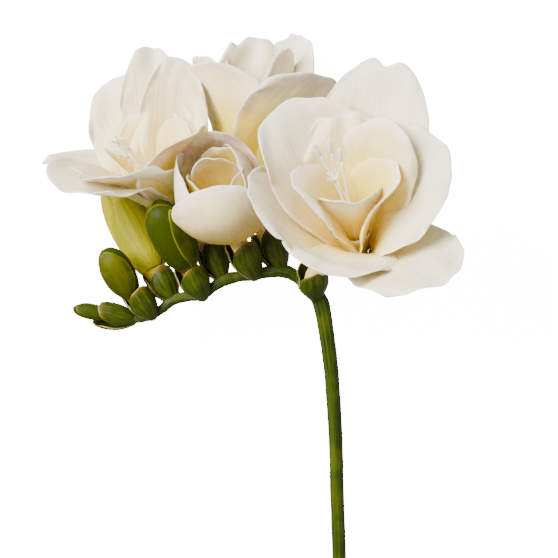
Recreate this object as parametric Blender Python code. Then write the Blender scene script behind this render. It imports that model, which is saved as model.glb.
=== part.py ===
"""Freesia stem, cut and lying down: a stalk and its zigzag flower axis, pairs of green bracts, four open
double blooms with their stamens, and a row of closed buds.

Everything is laid out in millimetres in one drawing frame: +X runs to the right and +Y up the upright
flower, and +Z is up from the surface that the stem lies on. Z = 0 is the plane of the flower axis. At the
end, one empty carries all the pieces to the part's own frame, which has its origin on the surface, under the
middle of the object.
"""

import math
from dataclasses import dataclass, replace

import bmesh
import bpy
from mathutils import Vector

MM = 0.001
GAP = 0.3  # clearance between two pieces that meet, mm
SURFACE_Z = -24.0  # the surface that the stem lies on, in the drawing frame, mm
PETAL_THICKNESS = 0.66
BRACT_THICKNESS = 0.75
CENTRE_STEPS = 48  # steps along a blade's midrib when its curve is summed up
ROUND = 0.7  # how much of a quarter ellipse each half of a blade's tip follows
WIDEST = 0.6  # where a blade is widest, as a share of its length
SMOOTH_ANGLE = 50.0  # shading stays smooth over edges up to this angle, degrees

# Grids: squares across and along a blade, sides and samples of the round pieces
PETAL_ROWS = 5
NARROW = 25.5  # petals under this width, in mm, have fewer columns
NARROW_COLUMNS = 4
WIDE_COLUMNS = 6
BRACT_GRID = (4, 4)
STALK_SAMPLES = 2
STALK_SIDES = 10
TUBE_SIDES = 12
BUD_SIDES = 20
STAMEN_SIDES = 6

# Share of the triangles that stays when the slivers that fusing leaves are folded away
SLIM_BLOOM = 0.7
SLIM_BRACTS = 0.85
FLAT_ANGLE = 1.5  # faces that meet within this angle, in degrees, count as one

# Colours and roughness: what it is, red, green, blue, roughness
FINISHES = {
    "stalk_green": (0.16, 0.25, 0.03, 0.45),
    "bract_green": (0.14, 0.22, 0.03, 0.5),
    "bud_green": (0.36, 0.45, 0.06, 0.45),
    "petal_white": (0.9, 0.86, 0.76, 0.55),
}

# The stalk from its cut end to the bend, then the zigzag axis to its tip: x, y, z, radius
STALK_LINE = [
    (17.2, -180.0, -22.2, 1.75),
    (17.0, -140.0, -17.2, 1.75),
    (16.2, -100.0, -12.2, 1.75),
    (15.2, -69.8, -8.4, 1.75),
    (14.6, -51.7, -6.2, 1.75),
    (14.1, -37.0, -4.2, 1.78),
    (13.0, -22.2, -2.2, 1.85),
    (11.7, -12.4, -0.9, 1.95),
    (10.3, -5.6, -0.1, 2.1),
    (8.0, -2.6, 0.0, 1.75),
    (4.6, 0.4, -0.3, 1.5),
    (1.2, 2.0, -0.7, 1.75),
    (-2.8, 1.7, -0.9, 1.45),
    (-6.4, 1.2, -0.9, 1.65),
    (-10.0, 0.6, -1.2, 1.35),
    (-13.6, -0.2, -1.6, 1.6),
    (-16.4, -1.9, -1.7, 1.3),
    (-19.2, -3.7, -1.7, 1.55),
    (-22.8, -4.4, -2.1, 1.25),
    (-26.6, -5.2, -2.6, 1.45),
    (-29.2, -7.4, -2.6, 1.2),
    (-32.2, -9.0, -2.6, 1.35),
    (-35.2, -9.9, -2.8, 1.1),
    (-38.2, -10.3, -3.0, 0.9),
]


@dataclass
class Blade:
    """A leaf or petal. Angles are in degrees; lengths in mm."""

    azimuth: float  # round the axis: 0 right, 90 up and back, 180 left, -90 towards the eye
    length: float
    width: float
    base_angle: float  # between the midrib and the axis, at the root
    tip_angle: float  # and at the tip
    cup: float = 20.0  # half the arc that the blade bends through from side to side
    bow: float = 1.0  # over 1, the bend comes late
    root: float = -1.5  # where it starts, along the axis
    ring: float = 2.6  # and how far from the axis
    lean: float = 0.0  # sideways drift of the midrib, degrees
    twist: float = 0.0
    roll: float = 0.0  # extra opening over the last third
    wave: float = 0.0  # height of the waves along the margin
    waves: float = 2.0
    phase: float = 0.0
    claw: float = 0.26  # root width over full width
    blunt: float = 0.92  # width over full width where the round of the tip ends
    drop: float = 0.3  # how far back from the tip the ends of that round lie
    base_cup: float = 45.0  # that arc at the root
    notch: float = 0.0  # depth of the notch in the tip, as a share of the length


# Each node of the axis: where its bracts stand, the way they point, and the length and radius of the pair
NODES = {
    "1": dict(foot=(8.9, -4.2, 1.2), way=(-0.12, 0.9, 0.42), length=9.0, radius=3.3),
    "2": dict(foot=(0.3, 2.6, -1.6), way=(-0.36, 0.92, -0.22), length=12.0, radius=2.9),
    "3": dict(foot=(-6.3, 0.8, 0.2), way=(-0.4, 0.9, 0.24), length=11.0, radius=3.1),
    "4": dict(foot=(-14.6, 0.4, -2.6), way=(-0.34, 0.92, -0.2), length=11.5, radius=2.9),
    "5": dict(foot=(-19.3, -4.3, -0.8), way=(-0.42, 0.88, 0.22), length=10.0, radius=3.1),
    "6": dict(foot=(-26.9, -5.0, -3.6), way=(-0.5, 0.84, -0.16), length=10.0, radius=3.0),
    "7": dict(foot=(-32.0, -9.2, -1.2), way=(-0.56, 0.8, 0.16), length=9.6, radius=2.8),
    "8": dict(foot=(-36.8, -10.4, -3.4), way=(-0.97, 0.2, 0.0), length=10.6, radius=2.3),
}
# Inside each pair of bracts a solid core joins them: shares of their length and of their radius
BRACT_CORE = [(-0.02, 0.5), (0.12, 0.72), (0.36, 0.78), (0.52, 0.7)]
BRACT_SEAT = 0.42  # where a flower's tube starts, as a share of the length of its bracts

# Each open bloom: its throat, the way it faces, the length and radius of the solid heart that its petals
# stand out of, and the tips of its stamens and of its style
BLOOMS = {
    "1": dict(
        throat=(19.3, 8.6, 16.0),
        faces=(-0.14, 0.64, 0.75),
        heart=(10.0, 5.2),
        stamens=[(9.6, 29.6, 35.5), (12.4, 30.2, 37.5), (14.8, 28.2, 38.5)],
        style=(13.4, 23.0, 37.0),
    ),
    "2": dict(
        throat=(-8.6, 26.5, -8.5),
        faces=(0.12, 0.96, -0.25),
        heart=(13.0, 6.6),
        stamens=[(-8.6, 46.0, -10.6), (-4.6, 46.4, -12.6), (-6.6, 45.6, -15.4)],
        style=(-6.2, 48.6, -13.0),
    ),
    "3": dict(
        throat=(-11.2, 12.3, 3.0),
        faces=(-0.22, 0.7, 0.68),
        heart=(5.0, 6.4),
        stamens=[(-15.2, 19.6, 10.4), (-12.8, 20.6, 9.6), (-14.0, 18.8, 11.6)],
        style=(-13.6, 20.6, 12.2),
    ),
    "4": dict(
        throat=(-25.2, 16.8, -4.0),
        faces=(-0.5, 0.85, 0.15),
        heart=(11.0, 5.6),
        stamens=[(-39.4, 31.0, 2.0), (-37.4, 32.6, 2.6), (-37.6, 30.4, 4.4)],
        style=(-39.6, 33.4, 5.0),
    ),
}
TUBE_RADIUS = 1.9
THROAT_RADIUS = 2.7

# The petals of each bloom, the outer ones first
PETALS = {
    "1": [
        Blade(67, 46.5, 29.5, 26, 61, cup=11, lean=6, twist=6, notch=0.05, wave=0.8, waves=1.6),
        Blade(20, 34.5, 33, 9, 86, cup=18, lean=-20, twist=25, wave=1.0, phase=1.0),
        Blade(-51, 35.5, 27, 52, 78, cup=4, root=-1.8, lean=10, twist=-8, wave=1.2, waves=1.5, phase=2.0),
        Blade(-108, 26, 29.5, 32, 66, cup=20, twist=-9, wave=0.8),
        Blade(181, 34.5, 26, 36, 42, cup=2, twist=3, wave=0.8, phase=0.6),
        Blade(126, 40, 31.5, 15, 62, cup=35, lean=2, wave=0.8, root=-0.5, ring=2.2),
        Blade(92, 34.5, 25.5, 11, 72, cup=46, lean=3, twist=9, root=0.0, ring=1.6, wave=1.0, waves=2.6),
        Blade(46, 33.5, 23.5, 18, 36, cup=14, twist=13, root=0.0, ring=1.6, roll=20),
        Blade(11, 26.5, 22, 2, 48, cup=62, root=0.5, ring=1.2),
        Blade(-80, 23, 15, -4, 30, cup=56, twist=-5, root=0.5, ring=1.2),
        Blade(181, 28.5, 19.5, 10, 32, cup=39, lean=-6, root=0.5, ring=1.4),
    ],
    "2": [
        Blade(-132, 31, 25, 17, 55, cup=36, claw=0.5, twist=-11, wave=0.6),
        Blade(-41, 32.5, 26, 20, 67, cup=31, claw=0.5, bow=1.6, lean=-3, wave=0.6),
        Blade(-14, 37.5, 25, 15, 24, cup=18, lean=-7, twist=-13, wave=0.8),
        Blade(46, 43.5, 25, 14, 8, cup=16, twist=2, wave=0.9),
        Blade(99, 40, 24.5, 8, 1, cup=22, wave=0.9),
        Blade(204, 33, 23.5, 11, 38, cup=30, twist=3, wave=0.8),
        Blade(-20, 30, 20, 8, 20, cup=38, root=0.0, ring=1.5, wave=0.8),
        Blade(60, 32, 20, 8, 20, cup=38, root=0.0, ring=1.5, wave=0.8),
        Blade(150, 32, 20, 8, 20, cup=38, root=0.0, ring=1.5, wave=0.8),
    ],
    "3": [
        Blade(-85, 27, 31, 64, -27, cup=62, ring=1.8),
        Blade(25, 28, 29, 60, -22, cup=60, ring=1.8),
        Blade(172, 26, 28, 57, -26, cup=62, ring=1.8),
        Blade(95, 24.5, 27, 50, -22, cup=62, ring=1.8),
        Blade(-140, 24, 20, 44, -14, cup=60, root=-0.5, ring=1.4),
        Blade(70, 25, 20, 40, -16, cup=60, root=-0.5, ring=1.4),
        Blade(-25, 24, 20, 42, -14, cup=60, root=-0.5, ring=1.4),
    ],
    "4": [
        Blade(90, 41, 24, 8, 35, cup=22, lean=-2, wave=0.8),
        Blade(33, 42, 22.5, 18, 30, cup=41, lean=2, twist=9, wave=0.8),
        Blade(16, 40, 23, 14, 51, cup=26, lean=6, twist=18, wave=0.8),
        Blade(-54, 31, 24.5, 24, 87, cup=25, bow=1.3, wave=0.6),
        Blade(-119, 32, 25.5, 14, 80, cup=17, lean=3, twist=-27, wave=0.8),
        Blade(164, 38.5, 22, 8, 67, cup=12, wave=0.8),
        Blade(-152, 36.5, 25, 11, 77, cup=5, lean=10, twist=-44, wave=0.8),
        Blade(49, 29, 21.5, 5, 38, cup=39, lean=5, twist=11, root=0.0, ring=1.4),
        Blade(150, 25, 18, 6, 30, cup=45, root=0.0, ring=1.4),
        Blade(90, 36, 26, 21, 66, cup=10, wave=0.8),
    ],
}

# Each closed bud: foot and tip, and its radius at the widest
BUDS = {
    "5": dict(foot=(-22.6, 3.0, 1.6), tip=(-30.7, 19.2, 9.0), radius=5.2),
    "6": dict(foot=(-31.2, 1.6, -6.0), tip=(-39.6, 22.5, -15.7), radius=5.6),
    "7": dict(foot=(-36.6, -4.2, -0.4), tip=(-43.4, 7.6, 2.4), radius=4.1),
    "8": dict(foot=(-42.6, -9.2, -3.2), tip=(-51.8, -7.4, -3.2), radius=2.0),
}
# A bud's outline: shares of its length and of its radius
BUD_PROFILE = [
    (0.0, 0.46),
    (0.06, 0.6),
    (0.14, 0.74),
    (0.24, 0.86),
    (0.36, 0.94),
    (0.5, 0.97),
    (0.62, 0.95),
    (0.73, 0.88),
    (0.82, 0.77),
    (0.9, 0.6),
    (0.96, 0.38),
    (0.995, 0.14),
]
# The tepals folded over a bud: their middle and half their width in turns round it, their tops as a share of
# its length, and how far they stand out, as a share of its radius
BUD_TEPALS = [(0.42, 0.24, 0.97, 0.085), (0.78, 0.2, 0.9, 0.125), (0.1, 0.22, 1.0, 0.06)]
TEPAL_EDGE = 0.05  # width of the slope at a tepal's edge, in turns

# A stamen and the three branches of a style, mm
FILAMENT_RADIUS = 0.45
ANTHER = [(-0.6, 0.5), (0.6, 0.85), (3.2, 0.85), (4.6, 0.4)]  # places along it past the filament, and radii
BRANCH_LENGTH = 3.0
BRANCH_SPREAD = 1.6


@dataclass
class Spot:
    """Where a set of blades grows: its throat, the way it faces, and two directions across."""

    origin: Vector
    axis: Vector
    side: Vector
    up: Vector


def spot_at(origin, axis):
    axis = Vector(axis).normalized()
    side = Vector((1, 0, 0)) if abs(axis.x) < 0.9 else Vector((0, 1, 0))
    side = (side - axis * side.dot(axis)).normalized()
    return Spot(Vector(origin), axis, side, axis.cross(side))


def smooth(t):
    t = min(1.0, max(0.0, t))
    return t * t * (3 - 2 * t)


def midrib(spot, blade):
    """Places, tangents, cross directions and inner normals at even steps along the midrib."""
    azimuth = math.radians(blade.azimuth)
    out = spot.side * math.cos(azimuth) + spot.up * math.sin(azimuth)
    around = spot.up * math.cos(azimuth) - spot.side * math.sin(azimuth)
    place = spot.origin + spot.axis * blade.root + out * blade.ring
    step = blade.length / CENTRE_STEPS
    line = []
    for i in range(CENTRE_STEPS + 1):
        s = i / CENTRE_STEPS
        opening = math.radians(
            blade.base_angle
            + (blade.tip_angle - blade.base_angle) * s**blade.bow
            + blade.roll * smooth((s - 0.66) / 0.34)
        )
        lean = math.radians(blade.lean) * s
        outward = out * math.cos(lean) + around * math.sin(lean)
        across = around * math.cos(lean) - out * math.sin(lean)
        tangent = spot.axis * math.cos(opening) + outward * math.sin(opening)
        inward = spot.axis * math.sin(opening) - outward * math.cos(opening)
        twist = math.radians(blade.twist) * s
        turned = across * math.cos(twist) + inward * math.sin(twist)
        inner = inward * math.cos(twist) - across * math.sin(twist)
        line.append((place.copy(), tangent, turned, inner))
        place = place + tangent * step
    return line


def along(line, s):
    """The midrib's place and directions at share s of its length."""
    at = min(max(s, 0.0), 1.0) * CENTRE_STEPS
    i = min(int(at), CENTRE_STEPS - 1)
    t = at - i
    return [a.lerp(b, t) for a, b in zip(line[i], line[i + 1])]


def half_width(blade, v):
    """Half the blade's width at share v of the way to the tip."""
    if v < WIDEST:
        share = blade.claw + (1 - blade.claw) * math.sin(math.pi / 2 * v / WIDEST) ** 1.25
    else:
        share = math.sqrt(1 - (1 - blade.blunt**2) * ((v - WIDEST) / (1 - WIDEST)) ** 2)
    return blade.width / 2 * share


def blade_point(line, blade, u, v, thickness):
    """A point on the blade's middle surface. u runs across from -1 to 1, and v from root to tip."""
    fall = (1 - math.sqrt(1 - ROUND * u * u)) / (1 - math.sqrt(1 - ROUND))
    s = v * (1 - blade.drop * fall * v) - blade.notch * math.exp(-((u / 0.16) ** 2)) * v**8
    place, _, across, inner = along(line, s)
    half = half_width(blade, v)
    bend = math.radians(blade.base_cup + (blade.cup - blade.base_cup) * smooth(1.5 * v))
    if abs(bend) > 1e-4:
        sideways = half * math.sin(bend * u) / bend
        rise = half * (1 - math.cos(bend * u)) / bend
    else:
        sideways, rise = half * u, 0.0
    ripple = math.sin(2 * math.pi * blade.waves * v + blade.phase + (1.9 if u > 0 else 0.0))
    rise += blade.wave * abs(u) ** 2 * v * ripple
    point = place + across * sideways + inner * rise
    point.z = max(point.z, SURFACE_Z + thickness / 2)
    return point


def link(mesh, name):
    obj = bpy.data.objects.new(name, mesh)
    bpy.context.scene.collection.objects.link(obj)
    return obj


def baked(obj):
    """The object with its modifiers applied."""
    bpy.context.view_layer.update()
    graph = bpy.context.evaluated_depsgraph_get()
    mesh = bpy.data.meshes.new_from_object(obj.evaluated_get(graph))
    obj.modifiers.clear()
    old = obj.data
    obj.data = mesh
    bpy.data.meshes.remove(old)
    return obj


def blade_solid(spot, blade, thickness, columns, rows):
    """One petal or bract: a grid on its middle surface, split alike on both faces, and thickened."""
    line = midrib(spot, blade)
    bm = bmesh.new()
    grid = []
    for j in range(rows + 1):
        v = j / rows
        grid.append(
            [
                bm.verts.new(blade_point(line, blade, 2 * i / columns - 1, v, thickness) * MM)
                for i in range(columns + 1)
            ]
        )
    for j in range(rows):
        for i in range(columns):
            a, b, c, d = grid[j][i], grid[j][i + 1], grid[j + 1][i + 1], grid[j + 1][i]
            for corners in ((a, b, c), (a, c, d)) if i < columns / 2 else ((a, b, d), (b, c, d)):
                bm.faces.new(corners)
    mesh = bpy.data.meshes.new("blade")
    bm.to_mesh(mesh)
    bm.free()
    obj = link(mesh, "blade")
    solid = obj.modifiers.new("thickness", "SOLIDIFY")
    solid.thickness = thickness * MM
    solid.offset = 0
    return baked(obj)


def smooth_line(points, samples):
    """Points of a Catmull-Rom curve through the given ones, each with its radius as a fourth number."""
    ends = [points[0]] + list(points) + [points[-1]]
    out = []
    for k in range(1, len(ends) - 2):
        a, b, c, d = (Vector(p) for p in ends[k - 1 : k + 3])
        for i in range(samples):
            t = i / samples
            out.append(
                b
                + (c - a) * t / 2
                + (a - 2.5 * b + 2 * c - d / 2) * t**2
                + (1.5 * b - a / 2 - 1.5 * c + d / 2) * t**3
            )
    return out + [Vector(points[-1])]


def tube_solid(points, sides, grow=0.0, name="tube", relief=None):
    """A closed round tube through points of x, y, z and radius. grow widens it and lengthens both ends, and
    relief gives the height of what stands out of it, for a point's number and a share of the way round."""
    places = [Vector(p[:3]) for p in points]
    radii = [p[3] + grow for p in points]
    if grow:
        places[0] = places[0] - (places[1] - places[0]).normalized() * grow
        places[-1] = places[-1] + (places[-1] - places[-2]).normalized() * grow
    bm = bmesh.new()
    rings = []
    side = None
    for i, place in enumerate(places):
        way = (places[min(i + 1, len(places) - 1)] - places[max(i - 1, 0)]).normalized()
        if side is None:
            side = Vector((0, 0, 1)) if abs(way.z) < 0.8 else Vector((1, 0, 0))
        side = (side - way * side.dot(way)).normalized()
        other = way.cross(side)
        ring = []
        for k in range(sides):
            angle = 2 * math.pi * k / sides
            radius = radii[i] + (relief(i, k / sides) if relief else 0.0)
            out = side * math.cos(angle) + other * math.sin(angle)
            ring.append(bm.verts.new((place + out * radius) * MM))
        rings.append(ring)
    for low, high in zip(rings, rings[1:]):
        for k in range(sides):
            n = (k + 1) % sides
            bm.faces.new((low[k], low[n], high[n], high[k]))
    bm.faces.new(list(reversed(rings[0])))
    bm.faces.new(rings[-1])
    bmesh.ops.recalc_face_normals(bm, faces=bm.faces)
    mesh = bpy.data.meshes.new(name)
    bm.to_mesh(mesh)
    bm.free()
    return link(mesh, name)


def fuse(name, pieces, solver):
    """One body from several that cross."""
    body, others = pieces[0], pieces[1:]
    body.name = name
    if others:
        group = bpy.data.collections.new("others")
        bpy.context.scene.collection.children.link(group)
        for other in others:
            bpy.context.scene.collection.objects.unlink(other)
            group.objects.link(other)
        union = body.modifiers.new("join", "BOOLEAN")
        union.operation = "UNION"
        union.operand_type = "COLLECTION"
        union.collection = group
        union.solver = solver
        baked(body)
        for other in others:
            bpy.data.objects.remove(other)
        bpy.data.collections.remove(group)
    return keep_largest(body)


def keep_largest(body):
    """Fills the hollows that fusing sealed, and drops loose scraps."""
    bm = bmesh.new()
    bm.from_mesh(body.data)
    bm.verts.ensure_lookup_table()
    seen = set()
    islands = []
    for start in bm.verts:
        if start.index in seen:
            continue
        seen.add(start.index)
        island = [start]
        for vert in island:
            for edge in vert.link_edges:
                other = edge.other_vert(vert)
                if other.index not in seen:
                    seen.add(other.index)
                    island.append(other)
        islands.append(island)
    islands.sort(key=len)
    bmesh.ops.delete(bm, geom=[vert for island in islands[:-1] for vert in island], context="VERTS")
    bm.to_mesh(body.data)
    bm.free()
    return body


def carve(body, cutters):
    """The body less its cutters."""
    for cutter in cutters:
        cut = body.modifiers.new("cut", "BOOLEAN")
        cut.operation = "DIFFERENCE"
        cut.solver = "MANIFOLD"
        cut.object = cutter
        baked(body)
        bpy.data.objects.remove(cutter)
    return body


def slim(obj, share):
    """Folds away the slivers that fusing leaves where thin pieces cross, down to a share of the triangles."""
    bm = bmesh.new()
    bm.from_mesh(obj.data)
    bmesh.ops.dissolve_limit(bm, angle_limit=math.radians(FLAT_ANGLE), verts=bm.verts, edges=bm.edges)
    bmesh.ops.triangulate(bm, faces=bm.faces)
    bm.to_mesh(obj.data)
    bm.free()
    fold = obj.modifiers.new("slim", "DECIMATE")
    fold.ratio = share
    return baked(obj)


def finish(obj, finish_name):
    """Smooth shading and a plain coloured material."""
    red, green, blue, roughness = FINISHES[finish_name]
    material = bpy.data.materials.get(finish_name)
    if material is None:
        material = bpy.data.materials.new(finish_name)
        material.use_nodes = True
        shader = material.node_tree.nodes["Principled BSDF"]
        shader.inputs["Base Color"].default_value = (red, green, blue, 1)
        shader.inputs["Roughness"].default_value = roughness
        shader.inputs["Metallic"].default_value = 0
    obj.data.materials.clear()
    obj.data.materials.append(material)
    for face in obj.data.polygons:
        face.use_smooth = True
    obj.data.set_sharp_from_angle(angle=math.radians(SMOOTH_ANGLE))
    return obj


def hermite(start, start_way, end, end_way, steps):
    """Points on a smooth curve that leaves start along start_way and reaches end along end_way."""
    start, end = Vector(start), Vector(end)
    reach = (end - start).length
    a = Vector(start_way).normalized() * reach
    b = Vector(end_way).normalized() * reach
    out = []
    for i in range(steps + 1):
        t = i / steps
        out.append(
            (2 * t**3 - 3 * t**2 + 1) * start
            + (t**3 - 2 * t**2 + t) * a
            + (3 * t**2 - 2 * t**3) * end
            + (t**3 - t**2) * b
        )
    return out


def stalk_solid(grow=0.0, name="stalk"):
    return tube_solid(smooth_line(STALK_LINE, STALK_SAMPLES), STALK_SIDES, grow, name)


def foot_line(node, goal, goal_way, foot_radius, throat_radius, steps=6):
    """A flower's tube, from its seat in the bracts to its throat."""
    way = Vector(node["way"]).normalized()
    start = Vector(node["foot"]) + way * (node["length"] * 0.42)
    places = hermite(start, way, goal, goal_way, steps)
    line = []
    for i, place in enumerate(places):
        t = i / steps
        line.append((*place, foot_radius + (throat_radius - foot_radius) * t**2.2))
    return line


def bract_pair(key, cutters):
    node = NODES[key]
    spot = spot_at(node["foot"], node["way"])
    length, radius = node["length"], node["radius"]
    core = [(*(spot.origin + spot.axis * length * share), radius * wide) for share, wide in BRACT_CORE]
    outer = Blade(
        azimuth=-60,
        length=length * 1.05,
        width=radius * 3.7,
        base_angle=42,
        tip_angle=-14,
        cup=84,
        base_cup=70,
        root=-1.3,
        ring=radius * 0.3,
        claw=0.3,
        blunt=0.84,
        drop=0.2,
    )
    inner = replace(outer, azimuth=125, length=length * 1.12, root=-1.0)
    pieces = [tube_solid(core, TUBE_SIDES)]
    pieces += [blade_solid(spot, blade, BRACT_THICKNESS, *BRACT_GRID) for blade in (outer, inner)]
    body = keep_largest(carve(fuse(f"bracts_{key}", pieces, "MANIFOLD"), cutters))
    return finish(slim(body, SLIM_BRACTS), "bract_green")


def stamen(start, axis, tip):
    """A filament with its anther."""
    way = (Vector(tip) - start).normalized()
    line = [(*place, FILAMENT_RADIUS) for place in hermite(start, axis, tip, way, 4)]
    line += [(*(Vector(tip) + way * reach), radius) for reach, radius in ANTHER[1:]]
    return tube_solid(line, STAMEN_SIDES)


def style(start, axis, tip):
    """A style with its three branches."""
    tip = Vector(tip)
    spot = spot_at(tip, tip - start)
    line = [(*place, FILAMENT_RADIUS) for place in hermite(start, axis, tip, spot.axis, 4)]
    pieces = [tube_solid(line, STAMEN_SIDES)]
    for turn in (0, 120, 240):
        out = spot.side * math.cos(math.radians(turn)) + spot.up * math.sin(math.radians(turn))
        end = tip + spot.axis * BRANCH_LENGTH + out * BRANCH_SPREAD
        places = (tip - spot.axis * FILAMENT_RADIUS, (tip + end) / 2 + out * 0.2, end)
        pieces.append(tube_solid([(*place, FILAMENT_RADIUS) for place in places], STAMEN_SIDES))
    return pieces


def bloom(key):
    """A bloom's body, and the cutter that clears its tube out of its bracts."""
    data = BLOOMS[key]
    spot = spot_at(data["throat"], data["faces"])
    tube = foot_line(NODES[key], spot.origin, spot.axis, TUBE_RADIUS, THROAT_RADIUS)
    length, radius = data["heart"]
    heart = [
        (*(spot.origin + spot.axis * length * share), THROAT_RADIUS + (radius - THROAT_RADIUS) * share)
        for share in (0.5, 1.0)
    ]
    pieces = [tube_solid(tube + heart, TUBE_SIDES)]
    for blade in PETALS[key]:
        columns = NARROW_COLUMNS if blade.width < NARROW else WIDE_COLUMNS
        pieces.append(blade_solid(spot, blade, PETAL_THICKNESS, columns, PETAL_ROWS))
    start = spot.origin + spot.axis * (length - 2)
    for i, tip in enumerate(data["stamens"]):
        turn = math.radians(120 * i + 30)
        off = spot.side * math.cos(turn) + spot.up * math.sin(turn)
        pieces.append(stamen(start + off * 1.8, spot.axis, tip))
    pieces += style(start, spot.axis, data["style"])
    body = slim(fuse(f"bloom_{key}", pieces, "EXACT"), SLIM_BLOOM)
    return finish(body, "petal_white"), tube_solid(tube, TUBE_SIDES, GAP, "cutter")


def tepal_relief(share, turn):
    """How far a bud's tepals stand out, at a share of its length and of the way round it."""
    height = 0.0
    for middle, half_turn, top, rise in BUD_TEPALS:
        off = abs((turn - middle + 0.5) % 1.0 - 0.5)
        if share < top:
            room = half_turn * math.sqrt(1 - (share / top) ** 2) ** 0.8
            height = max(height, rise * smooth((room - off) / TEPAL_EDGE + 0.5))
    return height


def bud(key):
    """A closed bud, and the cutter that clears it out of its bracts."""
    data = BUDS[key]
    foot, tip = Vector(data["foot"]), Vector(data["tip"])
    way = tip - foot
    radius = data["radius"]
    neck = foot_line(NODES[key], foot, way, radius * 0.4, radius * BUD_PROFILE[0][1], 3)[:-1]
    line = neck + [(*(foot + way * share), radius * wide) for share, wide in BUD_PROFILE]

    def relief(i, turn):
        return radius * tepal_relief(BUD_PROFILE[i - len(neck)][0], turn) if i >= len(neck) else 0.0

    body = tube_solid(line, BUD_SIDES, 0.0, f"bud_{key}", relief)
    return finish(body, "bud_green"), tube_solid(line, BUD_SIDES, GAP, "cutter", relief)


def main():
    for obj in list(bpy.data.objects):
        bpy.data.objects.remove(obj)
    made = [finish(stalk_solid(), "stalk_green")]
    for key in NODES:
        flower, cutter = bloom(key) if key in BLOOMS else bud(key)
        made += [flower, bract_pair(key, [stalk_solid(GAP, "cutter"), cutter])]
    low = Vector(min(v.co[i] for o in made for v in o.data.vertices) for i in range(3))
    high = Vector(max(v.co[i] for o in made for v in o.data.vertices) for i in range(3))
    base = bpy.data.objects.new("freesia", None)
    bpy.context.scene.collection.objects.link(base)
    base.location = (-(low.x + high.x) / 2, -(low.y + high.y) / 2, -low.z)
    for obj in made:
        obj.parent = base


main()
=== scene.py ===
import math

import bpy
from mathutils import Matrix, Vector, noise


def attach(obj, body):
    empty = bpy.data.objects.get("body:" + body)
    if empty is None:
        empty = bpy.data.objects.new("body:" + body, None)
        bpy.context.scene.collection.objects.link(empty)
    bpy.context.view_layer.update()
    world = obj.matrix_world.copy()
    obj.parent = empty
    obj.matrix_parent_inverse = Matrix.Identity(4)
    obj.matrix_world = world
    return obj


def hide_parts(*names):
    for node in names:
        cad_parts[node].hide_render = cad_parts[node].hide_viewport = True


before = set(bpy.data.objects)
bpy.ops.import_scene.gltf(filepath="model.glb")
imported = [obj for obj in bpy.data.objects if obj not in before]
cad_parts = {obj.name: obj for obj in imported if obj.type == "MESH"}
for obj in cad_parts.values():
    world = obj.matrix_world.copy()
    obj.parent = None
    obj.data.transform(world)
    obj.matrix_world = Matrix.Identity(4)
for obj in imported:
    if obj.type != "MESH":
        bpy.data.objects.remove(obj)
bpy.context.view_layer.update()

# The drawing frame, in millimetres: X right, Y up the upright flower, Z up from the table, and
# Z = 0 at the flower axis. The part's frame is metres, with its origin on the table.
mm = 0.001
weldDistance = 2e-6
shift = Vector((7.859, 58.476, 24.0))
tableZ = -24.0


def smooth(t):
    t = min(1.0, max(0.0, t))
    return t * t * (3 - 2 * t)


# 0 up to the start, then smoothly up to 1
def towards(share, start):
    return smooth((share - start) / (1 - start))


def toPart(point):
    return (Vector(point) + shift) * mm


def activate(obj):
    bpy.ops.object.select_all(action="DESELECT")
    obj.select_set(True)
    bpy.context.view_layer.objects.active = obj


def applyAll(obj):
    activate(obj)
    for modifier in list(obj.modifiers):
        bpy.ops.object.modifier_apply(modifier=modifier.name)


# A sheet is a grid bent by a function of u across, -1 to 1, and v along, 0 to 1. Its UV map
# keeps both. Of a point's four marks, three are a colour attribute and the last is its share of
# painted shade.
def makeSheet(name, columns, rows, place, marks=None, weld=False):
    bpy.ops.mesh.primitive_grid_add(x_subdivisions=columns, y_subdivisions=rows, size=2)
    obj = bpy.context.object
    obj.name = name
    found = []
    for vert in obj.data.vertices:
        u, v = vert.co.x, (vert.co.y + 1) / 2
        found.append(marks(u, v) if marks else (0.0, 0.0, 0.0, 0.0))
        vert.co = toPart(place(u, v))
    layer = obj.data.attributes.new("marks", "FLOAT_COLOR", "POINT")
    layer.data.foreach_set("color", [value for mark in found for value in (*mark[:3], 1.0)])
    layer = obj.data.attributes.new("paintedShadeShare", "FLOAT", "POINT")
    layer.data.foreach_set("value", [mark[3] for mark in found])
    if weld:
        bpy.ops.object.mode_set(mode="EDIT")
        bpy.ops.mesh.select_all(action="SELECT")
        bpy.ops.mesh.remove_doubles(threshold=weldDistance)
        bpy.ops.mesh.normals_make_consistent(inside=False)
        bpy.ops.object.mode_set(mode="OBJECT")
    bpy.ops.object.shade_smooth()
    return obj


def thicken(obj, thickness, levels=1):
    solid = obj.modifiers.new("thickness", "SOLIDIFY")
    solid.thickness = thickness * mm
    solid.offset = 0
    if levels:
        fine = obj.modifiers.new("fine", "SUBSURF")
        fine.levels = fine.render_levels = levels
    applyAll(obj)
    return obj


def joinPieces(name, pieces):
    bpy.ops.object.select_all(action="DESELECT")
    for piece in pieces:
        piece.select_set(True)
    bpy.context.view_layer.objects.active = pieces[0]
    if len(pieces) > 1:
        bpy.ops.object.join()
    obj = bpy.context.object
    obj.name = name
    bpy.ops.object.shade_smooth()
    return obj


def dress(obj, material, node):
    obj.data.materials.clear()
    obj.data.materials.append(material)
    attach(obj, "root")
    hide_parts(node)


# Directions at the foot of a set of petals: the axis they open round, and two across it
def makeSpot(origin, faces):
    axis = Vector(faces).normalized()
    side = Vector((1, 0, 0)) if abs(axis.x) < 0.9 else Vector((0, 1, 0))
    side = (side - axis * side.dot(axis)).normalized()
    return {"origin": Vector(origin), "axis": axis, "side": side, "up": axis.cross(side)}


def spoke(spot, degrees):
    turn = math.radians(degrees)
    return spot["side"] * math.cos(turn) + spot["up"] * math.sin(turn)


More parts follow.
